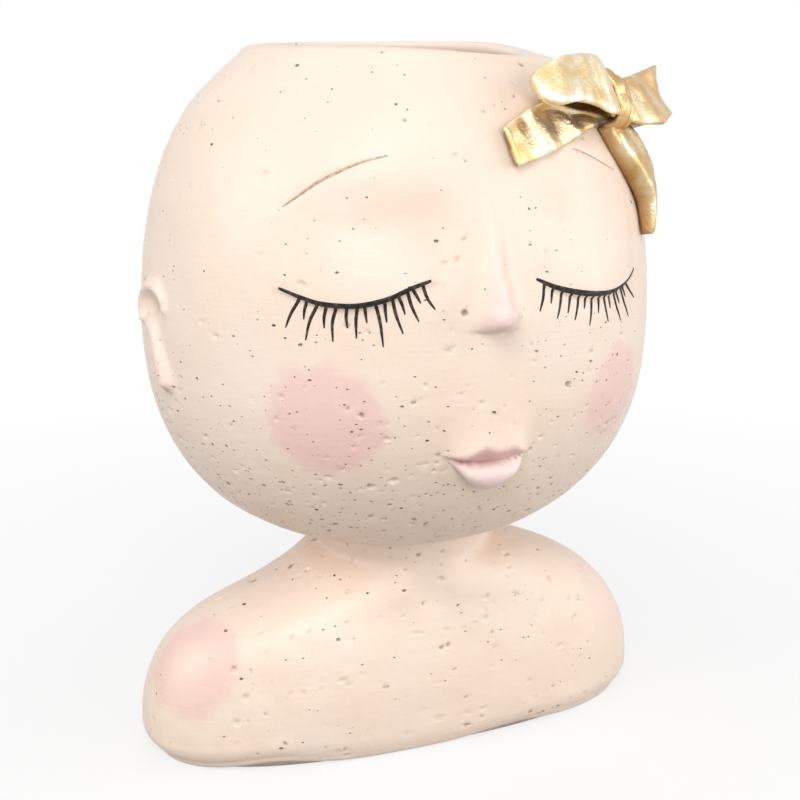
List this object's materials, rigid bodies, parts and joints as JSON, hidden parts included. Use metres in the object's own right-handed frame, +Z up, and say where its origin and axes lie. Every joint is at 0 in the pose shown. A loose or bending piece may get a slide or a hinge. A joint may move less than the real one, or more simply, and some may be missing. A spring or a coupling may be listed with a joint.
{
  "type": "head planter",
  "caption": "Plant pot shaped as a doll's head on a shoulder bust, with an open crown, a ribbon bow and a drain plug.",
  "frame": {"origin": "on the surface that the planter stands on, under the middle of its bounding box, just in front of the middle of the bust", "axes": "+Z up, the face looks along -Y, +X to the right as one looks at the face"},
  "size_m": [0.1572, 0.145, 0.201],
  "materials": {
    "painted_resin": "satin peach paint over cast resin, with small pits",
    "gold_paint": "brushed metallic gold paint over stiff ribbon",
    "soft_rubber": "matt black rubber"
  },
  "bodies": {
    "planter": {"head_shell": "painted_resin", "bust": "painted_resin", "bow_left_loop": "gold_paint", "bow_right_loop": "gold_paint", "bow_left_tail": "gold_paint", "bow_right_tail": "gold_paint", "bow_knot": "gold_paint"},
    "drain_plug": {"drain_plug": "soft_rubber"}
  },
  "joints": [
    {"name": "plug_pull", "type": "slide", "parent": "planter", "child": "drain_plug", "axis": [0, 0, -1], "range_m": [0, 0.025]}
  ]
}
